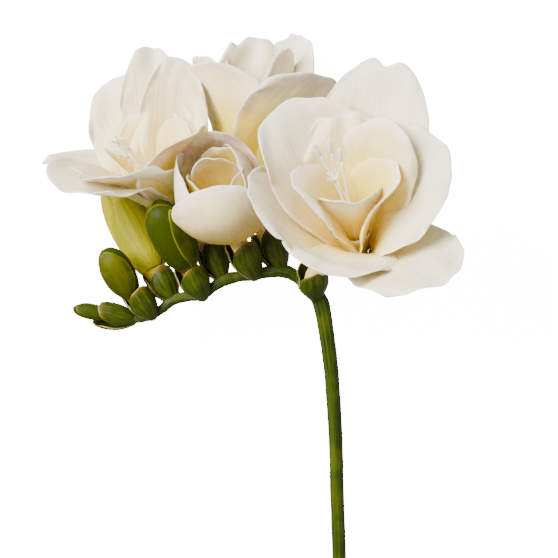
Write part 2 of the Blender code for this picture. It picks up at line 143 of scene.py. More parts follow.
# What all blades share: how round the tip is, how they widen and cup, and where and how
# strongly they roll, ripple, crinkle, swell, frill, rib and bend at the rim
midribSteps = 48
bladeForm = dict(
    roundTip=0.7, widest=0.6, widening=1.25, rollFrom=0.66, notchWidth=0.16, cupEase=1.5,
    otherEdge=1.9, crinkle=2.2, crinkleFrom=0.35, frillFrom=0.68, rimFrom=0.74, rimPower=1.6,
    swellFrom=0.1, swellOver=0.4, ribs=11, ribHeight=0.14, ribFade=0.6,
)
# Noise on a blade: waves across and along, and how far its seed moves it across and in depth
grains = dict(fine=(2.4, 5.5, 3.3, 1.0), broad=(0.9, 2.1, 1.0, 1.7), frill=(4.0, 8.0, 1.0, 0.7))


# One blade: azimuth round the axis, length and width in mm, and how far it opens at its foot and
# at its tip, in degrees. The other values place, bend, ruffle and colour it, and paint shade on it.
def petal(azimuth, length, width, base, tip, **more):
    blade = dict(
        cup=20, bow=1, root=-1.5, ring=2.6, lean=0, twist=0, roll=0, wave=0, waves=2, phase=0,
        claw=0.26, blunt=0.92, drop=0.3, baseCup=45, notch=0, crinkle=0.35, rim=0, gold=0.35,
        pink=0.12, deep=0.6, dusk=0, ragged=0.03, swell=1.5, frill=0.6, turn=0,
    )
    blade.update(azimuth=azimuth, length=length, width=width, base=base, tip=tip)
    blade.update(more)
    return blade


def midrib(spot, blade):
    azimuth = math.radians(blade["azimuth"])
    out = spot["side"] * math.cos(azimuth) + spot["up"] * math.sin(azimuth)
    around = spot["up"] * math.cos(azimuth) - spot["side"] * math.sin(azimuth)
    axis = spot["axis"]
    place = spot["origin"] + axis * blade["root"] + out * blade["ring"]
    line = []
    for i in range(midribSteps + 1):
        s = i / midribSteps
        angle = blade["base"] + (blade["tip"] - blade["base"]) * s ** blade["bow"]
        opening = math.radians(angle + blade["roll"] * towards(s, bladeForm["rollFrom"]))
        lean = math.radians(blade["lean"]) * s
        outward = out * math.cos(lean) + around * math.sin(lean)
        across = around * math.cos(lean) - out * math.sin(lean)
        tangent = axis * math.cos(opening) + outward * math.sin(opening)
        inward = axis * math.sin(opening) - outward * math.cos(opening)
        twist = math.radians(blade["turn"] + blade["twist"] * s)
        turned = across * math.cos(twist) + inward * math.sin(twist)
        inner = inward * math.cos(twist) - across * math.sin(twist)
        line.append((place.copy(), turned, inner))
        place = place + tangent * (blade["length"] / midribSteps)
    return line


def along(line, s):
    at = min(max(s, 0.0), 1.0) * midribSteps
    i = min(int(at), midribSteps - 1)
    return [a.lerp(b, at - i) for a, b in zip(line[i], line[i + 1])]


def halfWidth(blade, v):
    widest = bladeForm["widest"]
    if v < widest:
        opening = math.sin(math.pi / 2 * v / widest) ** bladeForm["widening"]
        share = blade["claw"] + (1 - blade["claw"]) * opening
    else:
        share = math.sqrt(1 - (1 - blade["blunt"] ** 2) * ((v - widest) / (1 - widest)) ** 2)
    return blade["width"] / 2 * share


def grain(kind, u, v, seed):
    across, length, moveAcross, moveDeep = grains[kind]
    return noise.noise(Vector((u * across + seed * moveAcross, v * length, seed * moveDeep)))


def makeBlade(name, spot, blade, seed, thickness, columns, rows, marks):
    line = midrib(spot, blade)
    form = bladeForm

    def place(u, v):
        roundTip = form["roundTip"]
        fall = (1 - math.sqrt(1 - roundTip * u * u)) / (1 - math.sqrt(1 - roundTip))
        ragged = blade["ragged"] * noise.noise(Vector((u * 4.3, seed * 7.7, 0.3))) * v**5
        notch = blade["notch"] * math.exp(-((u / form["notchWidth"]) ** 2)) * v**8
        s = v * (1 - blade["drop"] * fall * v) - notch + ragged
        middle, across, inner = along(line, s)
        half = halfWidth(blade, v)
        curve = smooth(form["cupEase"] * v)
        bend = math.radians(blade["baseCup"] + (blade["cup"] - blade["baseCup"]) * curve)
        if abs(bend) > 1e-4:
            sideways = half * math.sin(bend * u) / bend
            rise = half * (1 - math.cos(bend * u)) / bend
        else:
            sideways, rise = half * u, 0.0
        lag = form["otherEdge"] if u > 0 else 0.0
        ripple = math.sin(2 * math.pi * blade["waves"] * v + blade["phase"] + lag)
        rise += blade["wave"] * u * u * v * ripple
        edge = max(abs(u), v)
        fade = min(1.0, v * 2)
        crinkle = form["crinkle"] * grain("fine", u, v, seed) * towards(edge, form["crinkleFrom"])
        rise += blade["crinkle"] * crinkle * fade
        swell = grain("broad", u, v, seed) * smooth((v - form["swellFrom"]) / form["swellOver"])
        rise += blade["swell"] * swell
        frill = grain("frill", u, v, seed) * towards(edge, form["frillFrom"])
        rise += blade["frill"] * frill * fade
        ribs = form["ribHeight"] * math.cos(u * form["ribs"] + seed) * (1 - form["ribFade"] * v)
        rise += ribs * min(1.0, v * 4)
        rim = towards(edge, form["rimFrom"]) ** form["rimPower"]
        rise -= blade["rim"] * rim * smooth(v * 2.5)
        point = middle + across * sideways + inner * rise
        point.z = max(point.z, tableZ + thickness / 2)
        return point

    return thicken(makeSheet(name, columns, rows, place, marks), thickness)


def hermite(start, startWay, end, endWay, steps):
    start, end = Vector(start), Vector(end)
    reach = (end - start).length
    a, b = Vector(startWay).normalized() * reach, Vector(endWay).normalized() * reach
    points = []
    for i in range(steps + 1):
        t = i / steps
        points.append(
            (2 * t**3 - 3 * t**2 + 1) * start
            + (t**3 - 2 * t**2 + t) * a
            + (3 * t**2 - 2 * t**3) * end
            + (t**3 - t**2) * b
        )
    return points


def smoothLine(points, samples):
    ends = [points[0], *points, points[-1]]
    line = []
    for k in range(1, len(ends) - 2):
        a, b, c, d = (Vector(p) for p in ends[k - 1 : k + 3])
        for i in range(samples):
            t = i / samples
            line.append(
                b
                + (c - a) * t / 2
                + (a - 2.5 * b + 2 * c - d / 2) * t**2
                + (1.5 * b - a / 2 - 1.5 * c + d / 2) * t**3
            )
    return line + [Vector(points[-1])]


# Rings round a line of x, y, z and radius: centre, two directions across, and radius
def makeRings(points):
    rings = []
    side = None
    for i, point in enumerate(points):
        place = Vector(point[:3])
        before = Vector(points[max(i - 1, 0)][:3])
        after = Vector(points[min(i + 1, len(points) - 1)][:3])
        way = (after - before).normalized()
        if side is None:
            side = Vector((0, 0, 1)) if abs(way.z) < 0.8 else Vector((1, 0, 0))
        side = (side - way * side.dot(way)).normalized()
        rings.append((place, side.copy(), way.cross(side), point[3]))
    return rings


def onRings(rings, share, turn, lift):
    at = min(max(share, 0.0), 1.0) * (len(rings) - 1)
    i = min(int(at), len(rings) - 2)
    place, side, other, radius = (a + (b - a) * (at - i) for a, b in zip(rings[i], rings[i + 1]))
    angle = 2 * math.pi * turn
    return place + (side * math.cos(angle) + other * math.sin(angle)) * (radius + lift)


def makeTube(name, points, sides, marks=None, close=True, relief=None):
    points = [tuple(p) for p in points]
    if close:
        points = [(*points[0][:3], 1e-4), *points, (*points[-1][:3], 1e-4)]
    rings = makeRings(points)
    rows = len(points) - 1

    def place(u, v):
        j = round(v * rows)
        centre, side, other, radius = rings[j]
        turn = (u + 1) / 2
        if relief and radius > 0.01:
            radius += relief(j / rows, turn)
        angle = 2 * math.pi * turn
        return centre + (side * math.cos(angle) + other * math.sin(angle)) * radius

    return makeSheet(name, sides, rows, place, marks, weld=True)


print("helpers ready")


# Shared effect: streaks that run along a piece, from its UV map. Mask is 1 on a streak.
def makeStreakGroup():
    group = bpy.data.node_groups.new("streaks", "ShaderNodeTree")
    for name in ("Across", "Along", "Seed"):
        group.interface.new_socket(name, in_out="INPUT", socket_type="NodeSocketFloat")
    group.interface.new_socket("Mask", in_out="OUTPUT", socket_type="NodeSocketFloat")
    nodes, links = group.nodes, group.links
    start = nodes.new("NodeGroupInput")
    end = nodes.new("NodeGroupOutput")
    uv = nodes.new("ShaderNodeUVMap")
    scale = nodes.new("ShaderNodeCombineXYZ")
    seed = nodes.new("ShaderNodeCombineXYZ")
    stretch = nodes.new("ShaderNodeVectorMath")
    stretch.operation = "MULTIPLY_ADD"
    noiseNode = nodes.new("ShaderNodeTexNoise")
    noiseNode.inputs["Scale"].default_value = 1.0
    noiseNode.inputs["Detail"].default_value = 3.0
    noiseNode.inputs["Roughness"].default_value = 0.6
    ramp = nodes.new("ShaderNodeMapRange")
    ramp.interpolation_type = "SMOOTHSTEP"
    ramp.inputs["From Min"].default_value = 0.36
    ramp.inputs["From Max"].default_value = 0.66
    links.new(start.outputs["Across"], scale.inputs["X"])
    links.new(start.outputs["Along"], scale.inputs["Y"])
    links.new(start.outputs["Seed"], seed.inputs["Z"])
    links.new(uv.outputs["UV"], stretch.inputs[0])
    links.new(scale.outputs["Vector"], stretch.inputs[1])
    links.new(seed.outputs["Vector"], stretch.inputs[2])
    links.new(stretch.outputs["Vector"], noiseNode.inputs["Vector"])
    links.new(noiseNode.outputs["Fac"], ramp.inputs["Value"])
    links.new(ramp.outputs["Result"], end.inputs["Mask"])
    return group


streakGroup = makeStreakGroup()
# How far red, green and blue light spread inside a petal or a leaf
lightSpread = (1.0, 0.85, 0.55)


class Maker:
    def __init__(self, name):
        self.material = bpy.data.materials.new(name)
        self.material.use_nodes = True
        self.nodes = self.material.node_tree.nodes
        self.links = self.material.node_tree.links
        self.shader = self.nodes["Principled BSDF"]

    def put(self, socket, value):
        if isinstance(value, bpy.types.NodeSocket):
            self.links.new(value, socket)
        else:
            socket.default_value = value

    def math(self, operation, a, b=0.0, clamp=False):
        node = self.nodes.new("ShaderNodeMath")
        node.operation = operation
        node.use_clamp = clamp
        self.put(node.inputs[0], a)
        self.put(node.inputs[1], b)
        return node.outputs[0]

    def step(self, value, low, high, toLow=0.0, toHigh=1.0):
        node = self.nodes.new("ShaderNodeMapRange")
        node.interpolation_type = "SMOOTHSTEP"
        self.put(node.inputs["Value"], value)
        node.inputs["From Min"].default_value = low
        node.inputs["From Max"].default_value = high
        node.inputs["To Min"].default_value = toLow
        node.inputs["To Max"].default_value = toHigh
        return node.outputs["Result"]

    def blend(self, share, a, b, kind="MIX"):
        node = self.nodes.new("ShaderNodeMix")
        node.data_type = "RGBA"
        node.blend_type = kind
        self.put(node.inputs["Factor"], share)
        self.put(node.inputs["A"], a if isinstance(a, bpy.types.NodeSocket) else (*a, 1))
        self.put(node.inputs["B"], b if isinstance(b, bpy.types.NodeSocket) else (*b, 1))
        return node.outputs["Result"]

    def coords(self):
        uv = self.nodes.new("ShaderNodeUVMap")
        parts = self.nodes.new("ShaderNodeSeparateXYZ")
        self.links.new(uv.outputs["UV"], parts.inputs["Vector"])
        off = self.math("ABSOLUTE", self.math("SUBTRACT", parts.outputs["X"], 0.5))
        return self.math("MULTIPLY", off, 2.0), parts.outputs["Y"]

    def marks(self):
        node = self.nodes.new("ShaderNodeAttribute")
        node.attribute_name = "marks"
        parts = self.nodes.new("ShaderNodeSeparateColor")
        self.links.new(node.outputs["Color"], parts.inputs["Color"])
        paintedShadeShare = self.nodes.new("ShaderNodeAttribute")
        paintedShadeShare.attribute_name = "paintedShadeShare"
        colours = [parts.outputs[name] for name in ("Red", "Green", "Blue")]
        return [*colours, paintedShadeShare.outputs["Fac"]]

    def streaks(self, across, alongScale, seed):
        node = self.nodes.new("ShaderNodeGroup")
        node.node_tree = streakGroup
        self.put(node.inputs["Across"], across)
        self.put(node.inputs["Along"], alongScale)
        self.put(node.inputs["Seed"], seed)
        return node.outputs["Mask"]

    def spots(self, scale, detail=2.0):
        coord = self.nodes.new("ShaderNodeTexCoord")
        node = self.nodes.new("ShaderNodeTexNoise")
        node.inputs["Scale"].default_value = scale
        node.inputs["Detail"].default_value = detail
        self.links.new(coord.outputs["Object"], node.inputs["Vector"])
        return node.outputs["Fac"]

    def bump(self, height, strength, distance):
        node = self.nodes.new("ShaderNodeBump")
        node.inputs["Strength"].default_value = strength
        node.inputs["Distance"].default_value = distance
        self.put(node.inputs["Height"], height)
        self.links.new(node.outputs["Normal"], self.shader.inputs["Normal"])

    def finish(self, colour, look):
        inputs = self.shader.inputs
        self.put(inputs["Base Color"], colour)
        inputs["Roughness"].default_value = look["roughness"]
        inputs["Subsurface Weight"].default_value = look["soft"]
        inputs["Subsurface Radius"].default_value = lightSpread
        inputs["Subsurface Scale"].default_value = look["depth"]
        inputs["Specular IOR Level"].default_value = look["specular"]
        return self.material


# Petals: white, cream to gold towards the throat, fine veins, and a lilac flush along some margins.
# marks: red is how far up the gold reaches, green the flush, blue the depth of the gold.
# The fourth mark is painted shade: how much darker peach stands in for shade on the petal.
petalLook = dict(
    white=(0.91, 0.82, 0.6),
    cream=(0.92, 0.76, 0.38),
    gold=(0.82, 0.61, 0.0),
    vein=(0.8, 0.66, 0.36),
    flush=(0.58, 0.34, 0.4),
    # Painted shade: a darker peach laid on petals that face away from the light
    shadePeach=(0.36, 0.21, 0.11),
    rim=(0.97, 0.94, 0.85),
    cloud=(140.0, 3.0),
    veins=(46.0, 2.2),
    folds=(9.0, 1.3),
    bump=(0.2, 0.0004),
    roughness=0.5,
    soft=0.3,
    depth=0.0016,
    specular=0.3,
)


def makePetalMaterial(look):
    maker = Maker("petal")
    edge, v = maker.coords()
    reach, flush, deep, dusk = maker.marks()
    cloud = maker.spots(*look["cloud"])
    wobble = maker.math("MULTIPLY", maker.math("SUBTRACT", cloud, 0.5), 0.35)
    share = maker.math("DIVIDE", v, maker.math("MAXIMUM", reach, 0.02))
    share = maker.math("ADD", share, wobble)
    share = maker.math("ADD", share, maker.math("MULTIPLY", edge, 0.25))
    creamMask = maker.step(share, 0.55, 1.9, 1.0, 0.0)
    goldMask = maker.math("MULTIPLY", maker.step(share, 0.35, 1.45, 1.0, 0.0), deep)
    colour = maker.blend(maker.math("MULTIPLY", creamMask, 0.85), look["white"], look["cream"])
    # Painted shade: the darker peach, full near the petal's foot and fading to 0.15 of it at the
    # tip
    paintedShadeMask = maker.math("MULTIPLY", dusk, maker.step(v, 0.3, 0.9, 1.0, 0.15))
    colour = maker.blend(paintedShadeMask, colour, look["shadePeach"])
    colour = maker.blend(goldMask, colour, look["gold"])
    veins = maker.streaks(*look["veins"], deep)
    folds = maker.streaks(*look["folds"], reach)
    colour = maker.blend(maker.math("MULTIPLY", veins, 0.13), colour, look["vein"], "MULTIPLY")
    colour = maker.blend(maker.math("MULTIPLY", folds, 0.2), colour, look["vein"], "MULTIPLY")
    border = maker.math("MAXIMUM", edge, v)
    margin = maker.math("MULTIPLY", maker.step(border, 0.62, 1.0), flush)
    flushMask = maker.math("MULTIPLY", margin, maker.step(cloud, 0.35, 0.65))
    rimMask = maker.math("MULTIPLY", maker.step(border, 0.88, 1.0), 0.55)
    colour = maker.blend(rimMask, colour, look["rim"])
    colour = maker.blend(flushMask, colour, look["flush"])
    maker.bump(maker.math("ADD", veins, folds), *look["bump"])
    return maker.finish(colour, look)


# Stamens and style: cream, a little warmer at their feet
stamenLook = dict(
    cream=(0.94, 0.92, 0.84), foot=(0.88, 0.74, 0.36), cloud=(1800.0, 2.0), bump=(0.3, 0.0003),
    roughness=0.6, soft=0.35, depth=0.0015, specular=0.3,
)


def makeStamenMaterial(look):
    maker = Maker("stamen")
    v = maker.coords()[1]
    colour = maker.blend(maker.step(v, 0.0, 0.5, 1.0, 0.0), look["cream"], look["foot"])
    maker.bump(maker.spots(*look["cloud"]), *look["bump"])
    return maker.finish(colour, look)


# Stalk: mid green with fine streaks and yellower patches. marks: red is how yellow.
stalkLook = dict(
    dark=(0.008, 0.02, 0.0), light=(0.032, 0.055, 0.0), yellow=(0.085, 0.09, 0.0),
    cloud=(160.0, 3.0), streaks=(26.0, 9.0, 0.3), bump=(0.35, 0.0004),
    roughness=0.4, soft=0.05, depth=0.001, specular=0.14,
)


def makeStalkMaterial(look):
    maker = Maker("stalk")
    yellow = maker.marks()[0]
    streaks = maker.streaks(*look["streaks"])
    colour = maker.blend(streaks, look["dark"], look["light"])
    patches = maker.math("MULTIPLY", maker.step(maker.spots(*look["cloud"]), 0.45, 0.75), 0.45)
    colour = maker.blend(patches, colour, look["yellow"])
    colour = maker.blend(yellow, colour, look["yellow"])
    maker.bump(streaks, *look["bump"])
    return maker.finish(colour, look)


# Bracts: dark green, brown and dry at the top, with pale thin edges. marks: blue is the seed of
# the streaks.
bractLook = dict(
    dark=(0.018, 0.032, 0.0), green=(0.048, 0.062, 0.0), brown=(0.15, 0.08, 0.005),
    pale=(0.36, 0.3, 0.09), cloud=(240.0, 3.0), streaks=(20.0, 2.0), bump=(0.3, 0.0004),
    roughness=0.38, soft=0.05, depth=0.001, specular=0.15,
)


def makeBractMaterial(look):
    maker = Maker("bract")
    edge, v = maker.coords()
    streaks = maker.streaks(*look["streaks"], maker.marks()[2])
    colour = maker.blend(streaks, look["dark"], look["green"])
    top = maker.math("ADD", v, maker.math("MULTIPLY", maker.spots(*look["cloud"]), 0.5))
    colour = maker.blend(maker.step(top, 1.08, 1.34), colour, look["brown"])
    rim = maker.math("MAXIMUM", maker.step(edge, 0.92, 1.0), maker.step(v, 0.95, 1.0))
    colour = maker.blend(maker.math("MULTIPLY", rim, 0.7), colour, look["pale"])
    maker.bump(streaks, *look["bump"])
    return maker.finish(colour, look)


# Buds: yellow green tepals, each paler along its edge, green low down and brown where they leave
# the bracts. marks: red is how yellow, green how brown, blue the seed of the streaks.
budLook = dict(
    green=(0.026, 0.038, 0.0), yellow=(0.5, 0.45, 0.0), brown=(0.26, 0.15, 0.01),
    edge=(0.3, 0.3, 0.02), cloud=(170.0, 3.0), streaks=(16.0, 1.6), bump=(0.25, 0.0004),
    roughness=0.42, soft=0.08, depth=0.001, specular=0.08,
)
# How much of the pale edge shows on a bud's body and on its tepals
bodyEdge = 0.0
tepalEdge = 0.55


def makeBudMaterial(name, look, edgeShare):
    maker = Maker(name)
    edge, v = maker.coords()
    yellow, brown, seed = maker.marks()[:3]
    streaks = maker.streaks(*look["streaks"], seed)
    cloud = maker.math("SUBTRACT", maker.spots(*look["cloud"]), 0.55)
    mixed = maker.math("ADD", yellow, maker.math("MULTIPLY", cloud, 0.4), True)
    colour = maker.blend(mixed, look["green"], look["yellow"])
    colour = maker.blend(maker.math("MULTIPLY", streaks, 0.3), colour, look["green"])
    colour = maker.blend(brown, colour, look["brown"])
    rim = maker.math("MAXIMUM", maker.step(edge, 0.86, 1.0), maker.step(v, 0.93, 1.0))
    colour = maker.blend(maker.math("MULTIPLY", rim, edgeShare), colour, look["edge"])
    maker.bump(streaks, *look["bump"])
    return maker.finish(colour, look)


petalMaterial = makePetalMaterial(petalLook)
stamenMaterial = makeStamenMaterial(stamenLook)
stalkMaterial = makeStalkMaterial(stalkLook)
bractMaterial = makeBractMaterial(bractLook)
budMaterial = makeBudMaterial("budBody", budLook, bodyEdge)
tepalMaterial = makeBudMaterial("tepal", budLook, tepalEdge)
print("materials ready")

# Stalk and zigzag axis: x, y, z and radius. Ridges and knots: how many, and their height.
# Patches: how many, how yellow, and where along the stalk they begin and over what share.
stalkSettings = dict(
    line=[
        (17.2, -180.0, -22.2, 1.75), (17.0, -140.0, -17.2, 1.75), (16.2, -100.0, -12.2, 1.75),
        (15.2, -69.8, -8.4, 1.75), (14.6, -51.7, -6.2, 1.75), (14.1, -37.0, -4.2, 1.78),
        (13.0, -22.2, -2.2, 1.85), (11.7, -12.4, -0.9, 1.95), (10.3, -5.6, -0.1, 2.1),
        (8.0, -2.6, 0.0, 1.75), (4.6, 0.4, -0.3, 1.5), (1.2, 2.0, -0.7, 1.75),
        (-2.8, 1.7, -0.9, 1.45), (-6.4, 1.2, -0.9, 1.65), (-10.0, 0.6, -1.2, 1.35),
        (-13.6, -0.2, -1.6, 1.6), (-16.4, -1.9, -1.7, 1.3), (-19.2, -3.7, -1.7, 1.55),
        (-22.8, -4.4, -2.1, 1.25), (-26.6, -5.2, -2.6, 1.45), (-29.2, -7.4, -2.6, 1.2),
        (-32.2, -9.0, -2.6, 1.35), (-35.2, -9.9, -2.8, 1.1), (-38.2, -10.3, -3.0, 0.9),
    ],
    samples=8,
    sides=32,
    ridges=(9, 0.05),
    knots=(60, 0.12),
    patches=(40, 0.35, 0.35, 0.2),
)


def buildStalk(settings):
    line = smoothLine(settings["line"], settings["samples"])
    ridges, ridgeHeight = settings["ridges"]
    knots, knotHeight = settings["knots"]
    patches, yellow, start, over = settings["patches"]

    def relief(share, turn):
        angle = 2 * math.pi * turn
        knot = noise.noise(Vector((share * knots, math.cos(angle), math.sin(angle))))
        return ridgeHeight * math.cos(angle * ridges) + knotHeight * knot

    def marks(u, v):
        patch = smooth(noise.noise(Vector((v * patches, u, 2.0))) * 2)
        return yellow * patch * smooth((v - start) / over), 0.0, 0.0, 0.0

    obj = makeTube("stalkPiece", [tuple(p) for p in line], settings["sides"], marks, relief=relief)
    print("stalk", len(line))
    dress(obj, stalkMaterial, "stalk")


buildStalk(stalkSettings)

# Each node of the axis: where its bracts stand, the way they point, and the length and radius
# of the pair
nodes = {
    "1": dict(foot=(8.9, -4.2, 1.2), way=(-0.12, 0.9, 0.42), length=9.0, radius=3.3),
    "2": dict(foot=(0.3, 2.6, -1.6), way=(-0.36, 0.92, -0.22), length=12.0, radius=2.9),
    "3": dict(foot=(-6.3, 0.8, 0.2), way=(-0.4, 0.9, 0.24), length=11.0, radius=3.1),
    "4": dict(foot=(-14.6, 0.4, -2.6), way=(-0.34, 0.92, -0.2), length=11.5, radius=2.9),
    "5": dict(foot=(-19.3, -4.3, -0.8), way=(-0.42, 0.88, 0.22), length=10.0, radius=3.1),
    "6": dict(foot=(-26.9, -5.0, -3.6), way=(-0.5, 0.84, -0.16), length=10.0, radius=3.0),
    "7": dict(foot=(-32.0, -9.2, -1.2), way=(-0.56, 0.8, 0.16), length=9.6, radius=2.8),
    "8": dict(foot=(-36.8, -10.4, -3.4), way=(-0.97, 0.2, 0.0), length=10.6, radius=2.3),
}
# A tube or bud starts at this share of the length of its pair, and widens by this power
bractSeat = 0.42
footFlare = 2.2


def footLine(node, goal, goalWay, footRadius, endRadius, steps):
    way = Vector(node["way"]).normalized()
    start = Vector(node["foot"]) + way * (node["length"] * bractSeat)
    points = []
    for i, place in enumerate(hermite(start, way, goal, goalWay, steps)):
        points.append((*place, footRadius + (endRadius - footRadius) * (i / steps) ** footFlare))
    return points


# Blades of a pair: azimuth, length against the pair's, and root. Core: share of the length, and
# radius against the pair's.
bractSettings = dict(
    blades=[(-60, 1.05, -1.3), (125, 1.12, -1.0)],
    form=dict(
        cup=84, baseCup=70, claw=0.3, blunt=0.84, drop=0.2, crinkle=0.12, swell=0.3, frill=0.12,
    ),
    ring=0.3,
    width=3.7,
    opening=42,
    closing=-14,
    thickness=0.4,
    columns=20,
    rows=16,
    core=[(-0.02, 0.5), (0.05, 0.62), (0.12, 0.72), (0.24, 0.77), (0.36, 0.78), (0.52, 0.7)],
    coreSides=24,
)


def buildBracts(key, node, settings):
    spot = makeSpot(node["foot"], node["way"])
    length, radius = node["length"], node["radius"]
    thickness, columns, rows = (settings[name] for name in ("thickness", "columns", "rows"))

    def marks(u, v):
        return 0.0, 0.0, int(key) * 0.37, 0.0

    pieces = []
    for i, (azimuth, reach, root) in enumerate(settings["blades"]):
        blade = petal(
            azimuth, length * reach, radius * settings["width"], settings["opening"],
            settings["closing"], root=root, ring=radius * settings["ring"], **settings["form"],
        )
        seed = int(key) + i * 0.5
        pieces.append(makeBlade("bract", spot, blade, seed, thickness, columns, rows, marks))
    core = []
    for share, wide in settings["core"]:
        core.append((*(spot["origin"] + spot["axis"] * length * share), radius * wide))
    pieces.append(makeTube("core", core, settings["coreSides"], marks))
    dress(joinPieces("bractPair" + key, pieces), bractMaterial, "bracts_" + key)


for key, node in nodes.items():
    buildBracts(key, node, bractSettings)
print("bracts ready")

# Closed buds. Each tepal: middle and half width in turns, top as a share of the length, lift in
# mm, how yellow and how brown
buds = {
    "5": dict(
        foot=(-22.6, 3.0, 1.6), tip=(-30.7, 19.2, 9.0), radius=5.2, yellow=-0.03,
        tepals=[
            (0.72, 0.2, 0.97, 0.12, 0.1, 0.0), (0.97, 0.25, 0.9, 0.3, -0.02, 0.0),
            (0.1, 0.1, 0.72, 0.5, 0.06, 0.0),
        ],
    ),
    "6": dict(
        foot=(-31.2, 1.6, -6.0), tip=(-43.2, 25.8, -16.2), radius=5.9, yellow=1.0,
        tepals=[(0.74, 0.2, 0.97, 0.12, 0.9, 0.0), (0.02, 0.2, 0.56, 0.42, 0.6, 0.0)],
    ),
    "7": dict(
        foot=(-36.6, -4.2, -0.4), tip=(-43.4, 7.6, 2.4), radius=4.1, yellow=-0.05,
        tepals=[(0.72, 0.2, 0.97, 0.1, 0.0, 0.0), (0.95, 0.19, 0.84, 0.26, 0.06, 0.05)],
    ),
    "8": dict(
        foot=(-42.6, -9.2, -3.2), tip=(-51.8, -7.4, -3.2), radius=2.0, yellow=-0.1,
        tepals=[(0.05, 0.22, 0.75, 0.12, 0.0, 0.0)],
    ),
}
# Share of a bud's length, and of its radius
budProfile = [
    (0.0, 0.46), (0.06, 0.6), (0.14, 0.74), (0.24, 0.86), (0.36, 0.94), (0.5, 0.97), (0.62, 0.95),
    (0.73, 0.88), (0.82, 0.77), (0.9, 0.6), (0.96, 0.38), (0.985, 0.22), (1.0, 0.02),
]
budNeck = 0.4
budSides = 48
tepalThickness = 0.3
tepalColumns = 20
tepalRows = 22


def buildBud(key, data):
    foot, tip = Vector(data["foot"]), Vector(data["tip"])
    way, radius = tip - foot, data["radius"]
    body = smoothLine([(*(foot + way * share), radius * wide) for share, wide in budProfile], 3)
    neck = footLine(nodes[key], foot, way, radius * budNeck, radius * budProfile[0][1], 6)[:-1]
    line = neck + [tuple(p) for p in body]
    start = len(neck) / (len(line) + 1)

    def marks(u, v):
        share = (v - start) / (1 - start)
        green = smooth((0.35 - share) / 0.5)
        brown = 0.75 * smooth((0.14 - share) / 0.16)
        return data["yellow"] * (1 - 0.6 * green), brown, int(key) * 0.7, 0.0

    pieces = [makeTube("body", line, budSides, marks)]
    pieces[0].data.materials.append(budMaterial)
    rings = makeRings([tuple(p) for p in body])
    for i, (middle, halfTurn, top, lift, yellow, brown) in enumerate(data["tepals"]):

        def place(u, v):
            share = 0.02 + (top - 0.02) * v * (1 - 0.16 * u * u * v)
            narrowing = math.sqrt(1 - 0.55 * towards(v, 0.5) ** 2)
            spread = (0.55 + 0.45 * smooth(v * 2.2)) * narrowing
            turn = middle + halfTurn * u * spread
            uneven = 0.12 * noise.noise(Vector((u * 2, v * 3, i + int(key))))
            raised = lift * (0.35 + 0.65 * smooth(v * 3)) + uneven
            return onRings(rings, share, turn, raised)

        def tepalMarks(u, v):
            low = smooth((0.3 - v) / 0.4)
            browner = brown + 0.6 * smooth((0.1 - v) / 0.12)
            return yellow * (1 - 0.5 * low), browner, int(key) * 0.7 + i, 0.0

        sheet = makeSheet("tepal", tepalColumns, tepalRows, place, tepalMarks)
        thicken(sheet, tepalThickness)
        sheet.data.materials.append(tepalMaterial)
        pieces.append(sheet)
    obj = joinPieces("budPiece" + key, pieces)
    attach(obj, "root")
    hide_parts("bud_" + key)


for key, data in buds.items():
    buildBud(key, data)
print("buds ready")
